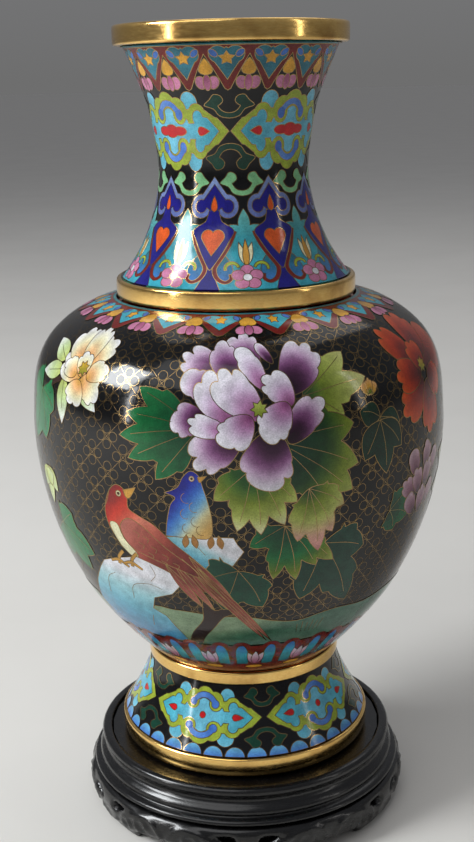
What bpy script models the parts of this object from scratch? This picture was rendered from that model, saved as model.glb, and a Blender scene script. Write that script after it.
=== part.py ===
"""Cloisonne vase on a turned and carved wooden stand.

The vase is a stack of hammered copper shells (neck, shoulder, belly and foot) joined by gilt rings.
Each shell carries a layer of enamel outside, and one counter-enamel lining covers the inside.
The vase lifts straight up off its stand. Outlines are in millimetres, as (radius, height), and are
turned about the Z axis; the origin is the centre of the stand's underside.
"""

import math

import bmesh
import bpy
from mathutils import Matrix, Vector

MM = 0.001
SEGMENTS = 32  # sides of every turned piece
GAP = 0.3  # clearance between touching pieces

# Driving dimensions
VASE_HEIGHT = 254.0
STAND_HEIGHT = 27.0  # top of the stand's lip
SEAT_DEPTH = 1.0  # how far the foot of the vase stands below the lip
ENAMEL = 0.9  # fired enamel, wires included
COPPER = 1.0
LINING = 0.6
VASE_BASE = STAND_HEIGHT - SEAT_DEPTH

# The outer surface of the vase, from top to bottom, heights above the foot of the vase
RIM_BOTTOM, RIM_RADIUS, MOUTH_RADIUS = 247.3, 39.5, 33.2
NECK = [
    (37.0, 247.0), (32.9, 237.5), (29.3, 227.5), (27.2, 216.5), (26.3, 206.0),
    (27.4, 197.5), (29.7, 189.5), (33.7, 180.5), (39.9, 171.2),
]
COLLAR_TOP, COLLAR_BOTTOM, COLLAR_RADIUS, COLLAR_BORE = 170.9, 164.4, 41.5, 36.7
SHOULDER = [(41.8, 164.1), (51.2, 161.3), (60.2, 156.2), (67.2, 148.8), (71.1, 138.5), (72.5, 122.3)]
BELLY = [
    (72.5, 121.7), (72.0, 111.0), (70.3, 99.0), (67.0, 86.0),
    (62.0, 73.0), (55.1, 60.0), (45.2, 47.0), (34.6, 35.6),
]
WAIST_TOP, WAIST_BOTTOM, WAIST_RADIUS, WAIST_BORE = 35.3, 30.5, 35.2, 29.6
FOOT = [(34.2, 30.2), (35.9, 24.8), (38.7, 18.8), (41.8, 13.0), (44.8, 8.0)]
FOOT_RING_TOP, FOOT_RING_RADIUS, FOOT_RING_BORE = 7.7, 46.0, 40.6
BASE_PLATE_HEIGHT, BASE_PLATE_THICKNESS = 3.0, 1.2

# The stand
RECESS_RADIUS = 50.7
PANEL_THICKNESS = 4.0
LEDGE_RADIUS = 45.0
FRAME_BOTTOM = 14.6
APRON_TOP_RADIUS = 57.6
APRON_INNER_RADIUS = 50.0
FEET = 6
ARCH_WIDTH, ARCH_HEIGHT = 30.0, 4.6
DROP_LENGTH, DROP_WIDTH, DROP_HEIGHT = 7.0, 3.2, 8.2
DROP_FROM_FOOT = 7.0  # degrees from the middle of a foot to each pierced drop


def clear_scene():
    for obj in list(bpy.data.objects):
        bpy.data.objects.remove(obj)


def material(name, colour, roughness, metallic):
    made = bpy.data.materials.new(name)
    made.use_nodes = True
    shader = made.node_tree.nodes["Principled BSDF"]
    shader.inputs["Base Color"].default_value = (*colour, 1.0)
    shader.inputs["Roughness"].default_value = roughness
    shader.inputs["Metallic"].default_value = metallic
    return made


def raised(outline, height):
    return [(radius, z + height) for radius, z in outline]


def offset(outline, distance):
    """The outline moved to its inner side. A steep end keeps its height, and a flat one its radius."""
    normals = []
    for (r0, z0), (r1, z1) in zip(outline, outline[1:]):
        length = math.hypot(r1 - r0, z1 - z0)
        normals.append(((z0 - z1) / length, (r1 - r0) / length))
    moved = []
    for i, (radius, z) in enumerate(outline):
        if 0 < i < len(outline) - 1:
            (ar, az), (br, bz) = normals[i - 1], normals[i]
            shift = distance / (1 + ar * br + az * bz)
            moved.append((radius - (ar + br) * shift, z - (az + bz) * shift))
            continue
        nr, nz = normals[0] if i == 0 else normals[-1]
        if abs(nr) > abs(nz):
            moved.append((radius - distance / nr, z))
        else:
            moved.append((radius, z - distance / nz))
    return moved


def wall(outline, depth, thickness):
    """The closed outline of a wall of that thickness, whose outer side lies depth inside the outline."""
    outer = offset(outline, depth) if depth else list(outline)
    return outer + offset(outline, depth + thickness)[::-1]


def rounded_ring(outer, inner, top, bottom, round_top, round_bottom):
    """The section of a flat band with its two outer edges rounded."""
    points = []
    for centre_z, size, first in ((top - round_top, round_top, 90), (bottom + round_bottom, round_bottom, 0)):
        for step in range(3):
            angle = math.radians(first - 45 * step)
            points.append((outer - size + size * math.cos(angle), centre_z + size * math.sin(angle)))
    return points + [(inner, bottom), (inner, top)]


def turned(name, outline, look, parent):
    """A solid of revolution from a closed outline that runs down its outer side first."""
    mesh = bpy.data.meshes.new(name)
    corners = [(radius * MM, 0.0, z * MM) for radius, z in outline]
    edges = [(i, (i + 1) % len(corners)) for i in range(len(corners))]
    mesh.from_pydata(corners, edges, [])
    obj = bpy.data.objects.new(name, mesh)
    bpy.context.scene.collection.objects.link(obj)
    obj.parent = parent
    obj.data.materials.append(look)
    spin = obj.modifiers.new("spin", "SCREW")
    spin.steps = spin.render_steps = SEGMENTS
    spin.use_merge_vertices = True
    spin.merge_threshold = 0.00001
    spin.use_smooth_shade = True
    return obj


def disc(name, radius, bottom, thickness, look, parent):
    """A round plate, as one capped cylinder."""
    mesh = bpy.data.meshes.new(name)
    shape = bmesh.new()
    bmesh.ops.create_cone(
        shape, cap_ends=True, segments=SEGMENTS, radius1=radius * MM, radius2=radius * MM,
        depth=thickness * MM, matrix=Matrix.Translation((0, 0, (bottom + thickness / 2) * MM)),
    )
    shape.to_mesh(mesh)
    shape.free()
    obj = bpy.data.objects.new(name, mesh)
    bpy.context.scene.collection.objects.link(obj)
    obj.parent = parent
    obj.data.materials.append(look)
    return obj


def arch_outline():
    """A low ogee arch between two feet, as (across, height)."""
    half = ARCH_WIDTH / 2
    steps = 10
    crown = []
    for i in range(steps + 1):
        t = i / steps
        crown.append((half * math.cos(math.pi * t), ARCH_HEIGHT * math.sin(math.pi * t) ** 0.6))
    return [(half, -2.0), *crown, (-half, -2.0)]


def drop_outline(lean):
    """A teardrop beside a foot, leaning away from it, as (across, height) about its own middle."""
    points = []
    steps = 10
    for i in range(steps):
        t = 2 * math.pi * i / steps
        across = DROP_LENGTH / 2 * math.cos(t)
        up = DROP_WIDTH / 2 * math.sin(t) * math.sin(t / 2)
        points.append((across * lean, up + 0.25 * across))
    return points if lean > 0 else points[::-1]


def radial_cutter(shape, outline, angle, height):
    """Adds a prism of that outline to shape, running outwards through the apron at that angle."""
    turn = Matrix.Rotation(angle, 4, "Z")
    ends = []
    for radius in (APRON_INNER_RADIUS - 6, APRON_TOP_RADIUS + 6):
        ends.append([shape.verts.new(turn @ Vector((radius, a, z + height)) * MM) for a, z in outline])
    near, far = ends
    shape.faces.new(near[::-1])
    shape.faces.new(far)
    for i in range(len(outline)):
        j = (i + 1) % len(outline)
        shape.faces.new((near[i], near[j], far[j], far[i]))


def apron_cutter():
    """One helper object that holds the arches and the pierced drops."""
    mesh = bpy.data.meshes.new("apron_cutter")
    shape = bmesh.new()
    for foot in range(FEET):
        middle = 2 * math.pi * foot / FEET
        radial_cutter(shape, arch_outline(), middle + math.pi / FEET, 0.0)
        for lean in (1, -1):
            drop = drop_outline(lean)
            radial_cutter(shape, drop, middle + lean * math.radians(DROP_FROM_FOOT), DROP_HEIGHT)
    bmesh.ops.recalc_face_normals(shape, faces=shape.faces)
    shape.to_mesh(mesh)
    shape.free()
    cutter = bpy.data.objects.new("apron_cutter", mesh)
    bpy.context.scene.collection.objects.link(cutter)
    cutter.hide_render = True
    cutter.display_type = "WIRE"
    return cutter


def build_vase(vase, gilt, copper, enamel, lining):
    """Every piece of the vase, with heights above its own foot; the empty lifts them onto the stand."""
    turned("rim_ring", rounded_ring(RIM_RADIUS, MOUTH_RADIUS, VASE_HEIGHT, RIM_BOTTOM, 1.0, 0.8), gilt, vase)
    turned("neck_enamel", wall(NECK, 0, ENAMEL), enamel, vase)
    turned("neck_shell", wall(NECK, ENAMEL + GAP, COPPER), copper, vase)
    collar = rounded_ring(COLLAR_RADIUS, COLLAR_BORE, COLLAR_TOP, COLLAR_BOTTOM, 0.9, 0.9)
    turned("collar_ring", collar, gilt, vase)

    turned("shoulder_enamel", wall(SHOULDER, 0, ENAMEL), enamel, vase)
    under_collar = [(COLLAR_BORE + GAP, SHOULDER[0][1] + ENAMEL + GAP), *SHOULDER]
    turned("shoulder_shell", wall(under_collar, ENAMEL + GAP, COPPER), copper, vase)
    turned("belly_enamel", wall(BELLY, 0, ENAMEL), enamel, vase)
    bowl = offset(BELLY, ENAMEL + GAP) + [(0.0, BELLY[-1][1])]
    turned("belly_shell", wall(bowl, 0, COPPER), copper, vase)

    # The lining runs from the mouth down past the collar's bore to the floor of the bowl
    depth = ENAMEL + COPPER + 2 * GAP + 0.1
    neck_skin = offset(NECK, depth)
    neck_skin[-1] = (COLLAR_BORE - GAP - 0.1, NECK[-1][1])
    past_collar = [(COLLAR_BORE - GAP - 0.1, COLLAR_BOTTOM - 2.2)]
    bowl_skin = offset(BELLY, depth)[1:-1] + [(BELLY[-1][0] - 2.4, BELLY[-1][1] + COPPER + GAP + 0.1)]
    skin = neck_skin + past_collar + offset(SHOULDER, depth)[:-1] + bowl_skin + [(0.0, bowl_skin[-1][1])]
    turned("inner_lining", wall(skin, 0, LINING), lining, vase)

    waist = rounded_ring(WAIST_RADIUS, WAIST_BORE, WAIST_TOP, WAIST_BOTTOM, 0.8, 0.8)
    turned("waist_ring", waist, gilt, vase)
    turned("foot_enamel", wall(FOOT, 0, ENAMEL), enamel, vase)
    turned("foot_shell", wall(FOOT, ENAMEL + GAP, COPPER), copper, vase)
    foot_ring = rounded_ring(FOOT_RING_RADIUS, FOOT_RING_BORE, FOOT_RING_TOP, 0.0, 0.8, 2.4)
    turned("foot_ring", foot_ring, gilt, vase)
    disc("base_plate", FOOT_RING_BORE - GAP, BASE_PLATE_HEIGHT, BASE_PLATE_THICKNESS, lining, vase)


def build_stand(stand, lacquer):
    """The turned frame with its lip and mouldings, the seat panel let into it, and the carved apron."""
    lip = STAND_HEIGHT
    panel_top = VASE_BASE - GAP
    panel_bottom = panel_top - PANEL_THICKNESS
    frame = [
        (51.3, lip), (53.2, lip), (54.3, lip - 0.9), (54.4, lip - 2.4),  # lip
        (52.9, 22.6), (53.2, 21.0), (54.6, 20.0),  # cove
        (55.5, 18.9), (55.4, 17.6), (54.9, 17.0),  # upper bead
        (56.9, 16.5), (57.7, 15.6), (57.4, FRAME_BOTTOM),  # lower bead
        (LEDGE_RADIUS, FRAME_BOTTOM), (LEDGE_RADIUS, panel_bottom - GAP),
        (RECESS_RADIUS, panel_bottom - GAP), (RECESS_RADIUS, lip - 0.5),
    ]
    turned("stand_frame", frame, lacquer, stand)
    disc("stand_panel", RECESS_RADIUS - GAP, panel_bottom, PANEL_THICKNESS, lacquer, stand)
    top = FRAME_BOTTOM - GAP
    belly = [(APRON_TOP_RADIUS, top), (59.0, 11.6), (59.2, 8.6), (58.5, 5.0), (57.2, 2.0), (56.6, 0.0)]
    inner_wall = [(APRON_INNER_RADIUS, 0.0), (APRON_INNER_RADIUS, top)]
    apron = turned("stand_apron", belly + inner_wall, lacquer, stand)
    cut = apron.modifiers.new("piercing", "BOOLEAN")
    cut.operation = "DIFFERENCE"
    cut.object = apron_cutter()


def build():
    clear_scene()
    gilt = material("gilt", (0.86, 0.60, 0.25), 0.25, 1.0)
    copper = material("copper", (0.72, 0.36, 0.22), 0.40, 1.0)
    enamel = material("enamel", (0.03, 0.03, 0.04), 0.12, 0.0)
    lining = material("counter_enamel", (0.12, 0.42, 0.58), 0.25, 0.0)
    lacquer = material("lacquered_wood", (0.02, 0.02, 0.02), 0.30, 0.0)

    vase = bpy.data.objects.new("vase", None)
    stand = bpy.data.objects.new("stand", None)
    for empty in (vase, stand):
        bpy.context.scene.collection.objects.link(empty)
    vase.location.z = VASE_BASE * MM
    build_vase(vase, gilt, copper, enamel, lining)
    build_stand(stand, lacquer)


build()
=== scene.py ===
"""The looks of the cloisonne vase: enamel cells, brass wires, gilt rings and a carved stand.

Every outline is in millimetres. A section of the vase is drawn as a flat drawing, x across and y down
from the section's top edge, and laid on the turned surface that the CAD node gives. All the cells of a
drawing are cut against each other, so that one polished skin is left, and a wire runs along every border
between two cells.
"""

import math

import bpy
import numpy as np
from mathutils import Matrix, Vector
from mathutils.geometry import delaunay_2d_cdt


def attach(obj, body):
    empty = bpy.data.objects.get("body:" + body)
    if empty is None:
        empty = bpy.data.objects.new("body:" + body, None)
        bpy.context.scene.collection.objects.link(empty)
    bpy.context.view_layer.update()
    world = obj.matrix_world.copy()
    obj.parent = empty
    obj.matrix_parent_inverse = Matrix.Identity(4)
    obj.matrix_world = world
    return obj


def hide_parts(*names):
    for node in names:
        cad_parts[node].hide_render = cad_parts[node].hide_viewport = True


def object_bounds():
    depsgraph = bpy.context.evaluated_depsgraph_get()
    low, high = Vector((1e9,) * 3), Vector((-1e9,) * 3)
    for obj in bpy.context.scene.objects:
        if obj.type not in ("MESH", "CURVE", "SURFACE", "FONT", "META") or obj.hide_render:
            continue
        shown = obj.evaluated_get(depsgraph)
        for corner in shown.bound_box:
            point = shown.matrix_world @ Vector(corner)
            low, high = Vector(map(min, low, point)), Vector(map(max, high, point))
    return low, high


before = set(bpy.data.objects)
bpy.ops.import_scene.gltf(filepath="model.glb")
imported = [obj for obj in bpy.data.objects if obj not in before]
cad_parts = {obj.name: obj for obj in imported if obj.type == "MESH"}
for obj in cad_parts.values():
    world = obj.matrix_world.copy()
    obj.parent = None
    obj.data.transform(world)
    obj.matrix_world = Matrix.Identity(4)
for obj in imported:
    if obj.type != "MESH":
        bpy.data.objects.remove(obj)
cad_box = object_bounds()

MM = 0.001
TALL = cad_box[1][2] - cad_box[0][2]
FACETS = 224  # round a turned piece
GROUND_STEP = 1.6  # between the rows of points down the black ground
WIRE, VEIN, LATTICE = 0.23, 0.17, 0.115  # widths of brass wire: round a cell, inside a cell, on the black
CELL_LIFT, LATTICE_LIFT, WIRE_LIFT = 0.10, 0.05, 0.14  # above the black ground
RUFFLE = 0.38  # depth of a petal's scallops, as a share of its reach
LOOP, LOOP_SHIFT = 1.6, 2.5  # radius of the lattice's loops, and their distance from the crossing
STROKE = 1.3  # longest straight piece of a line
CARVING, CARVING_WIDTH = 0.75, 0.85  # height and half width of the apron's scrolls
RIM_DROP, RIM_WIDTH = 0.9, 0.55  # how far the apron's edges fall away, and over what width
APRON_SINK = 0.35  # the apron's ground lies this far under the CAD surface

# The studio: each lamp's name, place, size, watts and colour. Places and sizes are in heights of the object.
LAMPS = (
    ("window", (-3.9, -1.1, 3.3), (1.7, 2.1), 19, (0.95, 0.98, 1.0)),
    ("pane", (-3.4, -2.0, 1.4), (0.16, 2.2), 1.6, (1, 1, 1)),
    ("front", (-2.4, -3.6, 6.2), (5.0, 5.0), 9, (1, 1, 1)),
    ("strip", (3.6, -1.5, 1.9), (0.25, 2.8), 0.7, (1.0, 0.97, 0.92)),
    ("back", (0.5, 3.0, 5.6), (5.0, 4.0), 5, (1, 1, 1)),
)
SKY_STRENGTH = 0.26
SKY_LOW, SKY_HIGH = (0.60, 0.60, 0.60, 1), (0.92, 0.94, 1.0, 1)
FLOOR_REACH = 90

# The camera: place in heights of the object, angles in degrees, lens and sensor in millimetres
CAMERA_BACK, CAMERA_UP = 1.573, 0.939
CAMERA_YAW, CAMERA_PITCH, CAMERA_ROLL = 0.09, 15.2, -1.23
LENS, SENSOR = 54.26, 36.0

# Enamel colours, in sRGB
BLACK = (0.035, 0.035, 0.042)
TURQUOISE = (0.24, 0.66, 0.74)
SKY = (0.45, 0.75, 0.85)
TEAL = (0.13, 0.45, 0.50)
# The neck tongues' ground: their own teal, partly darkened as painted shade from the rim above
RIM_SHADE_PETROL = (0.18, 0.46, 0.53)
AQUA = (0.40, 0.70, 0.68)
LAGOON = (0.22, 0.56, 0.60)
BLUE = (0.27, 0.46, 0.78)
COBALT = (0.11, 0.10, 0.48)
PERIWINKLE = (0.50, 0.58, 0.75)
LIME = (0.62, 0.69, 0.22)
MINT = (0.50, 0.74, 0.53)
PINE = (0.06, 0.24, 0.18)
RED = (0.76, 0.10, 0.12)
BRICK = (0.46, 0.12, 0.10)
CRIMSON = (0.25, 0.05, 0.05)
ORANGE = (0.85, 0.35, 0.13)
AMBER = (0.88, 0.65, 0.22)
PINK = (0.80, 0.50, 0.64)
ROSE = (0.62, 0.30, 0.45)
WHITE = (0.90, 0.90, 0.92)
CREAM = (0.90, 0.88, 0.72)
LEAF = (0.10, 0.45, 0.24)
FOREST = (0.06, 0.21, 0.15)
OLIVE = (0.45, 0.52, 0.15)
SPRING = (0.70, 0.74, 0.38)
PEACH = (0.90, 0.68, 0.46)
CELADON = (0.52, 0.62, 0.48)
BARK = (0.22, 0.14, 0.12)
CLAW = (0.66, 0.46, 0.24)
FEATHER = (0.46, 0.18, 0.16), (0.60, 0.30, 0.26), (0.80, 0.50, 0.44)
MAUVE = (0.24, 0.10, 0.18), (0.58, 0.38, 0.46), (0.80, 0.68, 0.72)
SHADED = (0.07, 0.17, 0.12), (0.10, 0.24, 0.17)
GRASS = (0.25, 0.42, 0.33)
OCHRE = (0.78, 0.58, 0.25)


# Outlines ------------------------------------------------------------

def placed(points, x, y, turn):
    """Points drawn about the origin, turned clockwise by that many degrees and moved to (x, y)."""
    c, s = math.cos(math.radians(turn)), math.sin(math.radians(turn))
    return [(x + px * c - py * s, y + px * s + py * c) for px, py in points]


def oval(x, y, rx, ry=None, turn=0.0, sides=20):
    """An ellipse, or a circle if there is only one radius."""
    ring = [2 * math.pi * i / sides for i in range(sides)]
    return placed([(rx * math.cos(a), (ry or rx) * math.sin(a)) for a in ring], x, y, turn)


def leaf(x, y, turn, length, width, fullness=0.8, teeth=0):
    """Pointed at both ends, from its base at (x, y) in the direction turn, where 0 is up and 90 right."""
    steps = 4 * teeth + 10
    side = []
    for i in range(1, steps):
        t = i / steps
        half = width / 2 * math.sin(math.pi * t ** fullness) ** 0.9
        if teeth:
            half *= 0.86 + 0.30 * ((t * teeth) % 1) * (t > 0.3)
        side.append((half, -length * t))
    left = [(-across, along) for across, along in reversed(side)]
    return placed([(0, 0), *side, (0, -length), *left], x, y, turn)


def blade(a, b, width, fullness=0.8, teeth=0):
    """A leaf from the point a to the point b."""
    turn = math.degrees(math.atan2(b[0] - a[0], a[1] - b[1]))
    return leaf(*a, turn, math.dist(a, b), width, fullness, teeth)


def petal(x, y, turn, length, width, lobes):
    """A fan with that many uneven scallops round its outer half, from its base at (x, y) towards turn."""
    points = []
    sides = 24 if lobes < 3 else 72
    for i in range(sides):
        a = 2 * math.pi * (i + 0.5) / sides - math.pi
        reach = 1.0
        if lobes:
            scallop = abs(math.cos(0.56 * lobes * a + 1.2 * math.sin(1.7 * a + turn))) ** 0.5 - 0.85
            reach += RUFFLE * scallop * max(0.0, math.cos(a * 0.8))
        points.append((width / 2 * math.sin(a) * reach * (0.86 + 0.24 * math.cos(a)),
                       -length * (0.5 + 0.5 * math.cos(a) * reach)))
    return placed(points, x, y, turn)


def stepped(points, closed=True):
    """The same line with more points, so that every stroke is short enough to bend round the vase."""
    drawn = []
    for (ax, ay), (bx, by) in zip(points, [*points[1:], points[0]] if closed else points[1:]):
        parts = math.ceil(math.dist((ax, ay), (bx, by)) / STROKE)
        drawn += [(ax + (bx - ax) * i / parts, ay + (by - ay) * i / parts) for i in range(parts)]
    return drawn if closed else [*drawn, points[-1]]


def star(x, y, radius, points, turn, waist):
    """A star; waist is the share of the radius between two tips."""
    ring = [(radius * (waist if i % 2 else 1), math.pi * i / points) for i in range(2 * points)]
    return placed([(r * math.sin(a), -r * math.cos(a)) for r, a in ring], x, y, turn)


def curve(*points, steps=4, closed=True):
    """A smooth line through the points; a point given twice is a corner."""
    count = len(points)
    drawn = []
    for i in range(count if closed else count - 1):
        near = [(i + k) % count if closed else min(max(i + k, 0), count - 1) for k in (-1, 0, 1, 2)]
        near = [points[k] for k in near]
        if near[1] == near[2]:
            continue
        for step in range(steps):
            t = step / steps
            weights = (-t + 2 * t * t - t ** 3, 2 - 5 * t * t + 3 * t ** 3,
                       t + 4 * t * t - 3 * t ** 3, t ** 3 - t * t)
            drawn.append(tuple(sum(w * p[k] for w, p in zip(weights, near)) / 2 for k in (0, 1)))
    return drawn if closed else [*drawn, points[-1]]


def arc(x, y, radius, start, end):
    """An open arc between two clock directions in degrees, 0 being up."""
    steps = max(6, int(abs(end - start) / 15))
    turns = [math.radians(start + (end - start) * i / steps) for i in range(steps + 1)]
    return [(x + radius * math.sin(a), y - radius * math.cos(a)) for a in turns]


def band(line, width, taper=0.0):
    """The outline of a strip along an open line, which may narrow towards both ends."""
    left, right = [], []
    for i, (x, y) in enumerate(line):
        (ax, ay), (bx, by) = line[max(i - 1, 0)], line[min(i + 1, len(line) - 1)]
        run = math.hypot(bx - ax, by - ay)
        half = width / 2 * (1 - taper * abs(2 * i / (len(line) - 1) - 1))
        nx, ny = -(by - ay) / run * half, (bx - ax) / run * half
        left.append((x + nx, y + ny))
        right.append((x - nx, y - ny))
    return left + right[::-1]


# Colours -------------------------------------------------------------

def linear(colour):
    """An sRGB colour, or an array of them, as the shader takes it."""
    srgb = np.asarray(colour, dtype=float)
    return np.where(srgb <= 0.04045, srgb / 12.92, ((srgb + 0.055) / 1.055) ** 2.4)


def blend(colours, t):
    """The colours spread evenly over t from 0 to 1."""
    stops = np.linspace(0, 1, len(colours))
    return np.stack([np.interp(t, stops, [c[k] for c in colours]) for k in range(3)], axis=-1)


def flat(colour):
    """The same colour everywhere."""
    return lambda xy: np.broadcast_to(np.asarray(colour, dtype=float), (len(xy), 3))


def fade(start, end, *colours):
    """Colours that change evenly from the point start to the point end."""
    a, d = np.array(start), np.subtract(end, start)
    return lambda xy: blend(colours, np.clip((xy - a) @ d / (d @ d), 0, 1))


def blush(x, y, turn, length, width, colours):
    """A petal's colours, from its base to its whole rim."""
    c, s = math.cos(math.radians(turn)), math.sin(math.radians(turn))

    def paint(xy):
        dx, dy = (xy - np.array((x, y))).T
        along, across = (dx * s - dy * c) / length, (dx * c + dy * s) / width
        return blend(colours, np.clip(np.hypot(along, 1.3 * across), 0, 1))
    return paint


def glow(centre, reach, *colours):
    """Colours that change outwards from a centre."""
    return lambda xy: blend(colours, np.clip(np.hypot(*(xy - np.array(centre)).T) / reach, 0, 1))


# The CAD nodes' outlines ---------------------------------------------

def section(node):
    """The node's outline where it crosses the plane y = 0, x >= 0, in order, as (radius, height)."""
    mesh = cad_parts[node].data
    links = {}
    for edge in mesh.edges:
        ends = [mesh.vertices[i].co for i in edge.vertices]
        if all(abs(p.y) < 1e-6 and p.x > -1e-6 for p in ends):
            a, b = [(round(p.x / MM, 3), round(p.z / MM, 3)) for p in ends]
            if a != b:
                links.setdefault(a, set()).add(b)
                links.setdefault(b, set()).add(a)
    loose = sorted(p for p in links if len(links[p]) == 1)
    order = [loose[0] if loose else min(links)]
    while True:
        ahead = sorted(p for p in links[order[-1]] if p not in order)
        if not ahead:
            return order
        order.append(ahead[0])


def outer_side(node):
    """The node's outer wall, from its top edge down."""
    loop = section(node)
    start = loop.index(max(loop, key=lambda p: (round(p[1], 1), p[0])))
    loop = loop[start:] + loop[:start]
    end = loop.index(max(loop, key=lambda p: (-round(p[1], 1), p[0])))
    sides = loop[:end + 1], [loop[0], *loop[:end - 1:-1]]
    return max(sides, key=lambda side: sum(p[0] for p in side) / len(side))


def softened(points, *radii, closed=True):
    """Every corner cut back by up to each of the radii in turn."""
    for radius in radii:
        points = np.array(points)
        count = len(points)
        cut = []
        for i in range(count):
            if not closed and i in (0, count - 1):
                cut.append(points[i])
                continue
            for other in (points[i - 1], points[(i + 1) % count]):
                away = other - points[i]
                cut.append(points[i] + away * min(radius / np.hypot(*away), 0.3))
        points = cut
    return points


class Surface:
    """The turned outer face of one section, found by turn (radians, 0 at the front) and distance down."""

    def __init__(self, outline):
        fine = np.array(curve(*[tuple(p) for p in outline], steps=24, closed=False))
        self.down = np.r_[0, np.cumsum(np.hypot(*np.diff(fine, axis=0).T))]
        self.radius, self.height = fine.T
        run, fall = np.gradient(self.radius, self.down), -np.gradient(self.height, self.down)
        self.out, self.up = fall / np.hypot(run, fall), run / np.hypot(run, fall)
        self.length = self.down[-1]

    def radius_at(self, down):
        return np.interp(down, self.down, self.radius)

    def outline(self):
        """Evenly spaced points down the surface, as (radius, height)."""
        rows = np.linspace(0, self.length, int(self.length / GROUND_STEP) + 2)
        return list(zip(self.radius_at(rows), np.interp(rows, self.down, self.height)))

    def points(self, turn, down, lift):
        """Points in metres and the normals there."""
        radius, height, out, up = (np.interp(down, self.down, values)
                                   for values in (self.radius, self.height, self.out, self.up))
        sine, cosine = np.sin(turn), -np.cos(turn)
        r = radius + out * lift
        where = np.stack([r * sine, r * cosine, height + up * lift], axis=-1) * MM
        return where, np.stack([out * sine, out * cosine, up], axis=-1)


# Meshes --------------------------------------------------------------

def shown(name, data):
    """A new object in the scene."""
    thing = bpy.data.objects.new(name, data)
    bpy.context.scene.collection.objects.link(thing)
    return thing


def mesh_piece(name, where, faces, look, normals=None, colours=None):
    """A smooth piece. Normals come one for each point, and colours one for each corner of a face."""
    mesh = bpy.data.meshes.new(name)
    mesh.from_pydata([tuple(p) for p in where], [], faces)
    mesh.materials.append(look)
    mesh.shade_smooth()
    if colours is not None:
        layer = mesh.color_attributes.new("enamel", "FLOAT_COLOR", "CORNER")
        rgba = np.ones((len(mesh.loops), 4), dtype=np.float32)
        rgba[:, :3] = linear(colours)
        layer.data.foreach_set("color", rgba.ravel())
    if normals is not None:
        mesh.normals_split_custom_set_from_vertices([tuple(n) for n in normals])
    return shown(name, mesh)


def belongs(piece, body, nodes):
    """The piece rides on the body and stands for the CAD nodes, which are hidden."""
    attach(piece, body)
    if nodes:
        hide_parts(*nodes)


def turned(name, outline, look, body, nodes, closed=True):
    """An outline turned about the axis."""
    count = len(outline)
    where, faces = [], []
    for i in range(FACETS):
        a = 2 * math.pi * i / FACETS
        where += [(r * math.sin(a) * MM, -r * math.cos(a) * MM, z * MM) for r, z in outline]
        for j in range(count if closed else count - 1):
            k, here, there = (j + 1) % count, i * count, (i + 1) % FACETS * count
            faces.append((here + j, here + k, there + k, there + j))
    belongs(mesh_piece(name, where, faces, look), body, nodes)


def inside(points, outline):
    """Which of the points lie inside the outline."""
    points, outline = np.asarray(points), np.asarray(outline)
    low, high = outline.min(axis=0), outline.max(axis=0)
    near = np.flatnonzero(((points >= low) & (points <= high)).all(axis=1))
    x, y = points[near].T
    odd = np.zeros(len(near), dtype=bool)
    for (ax, ay), (bx, by) in zip(outline, np.roll(outline, -1, axis=0)):
        if ay != by:
            crosses = (ay > y) != (by > y)
            odd ^= crosses & (x < (bx - ax) * (y - ay) / (by - ay) + ax)
    found = np.zeros(len(points), dtype=bool)
    found[near[odd]] = True
    return found


def signed_area(outline):
    """The outline's area, which is negative if its points run the other way round."""
    x, y = np.array(outline).T
    return float(x @ np.roll(y, -1) - y @ np.roll(x, -1)) / 2


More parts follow.
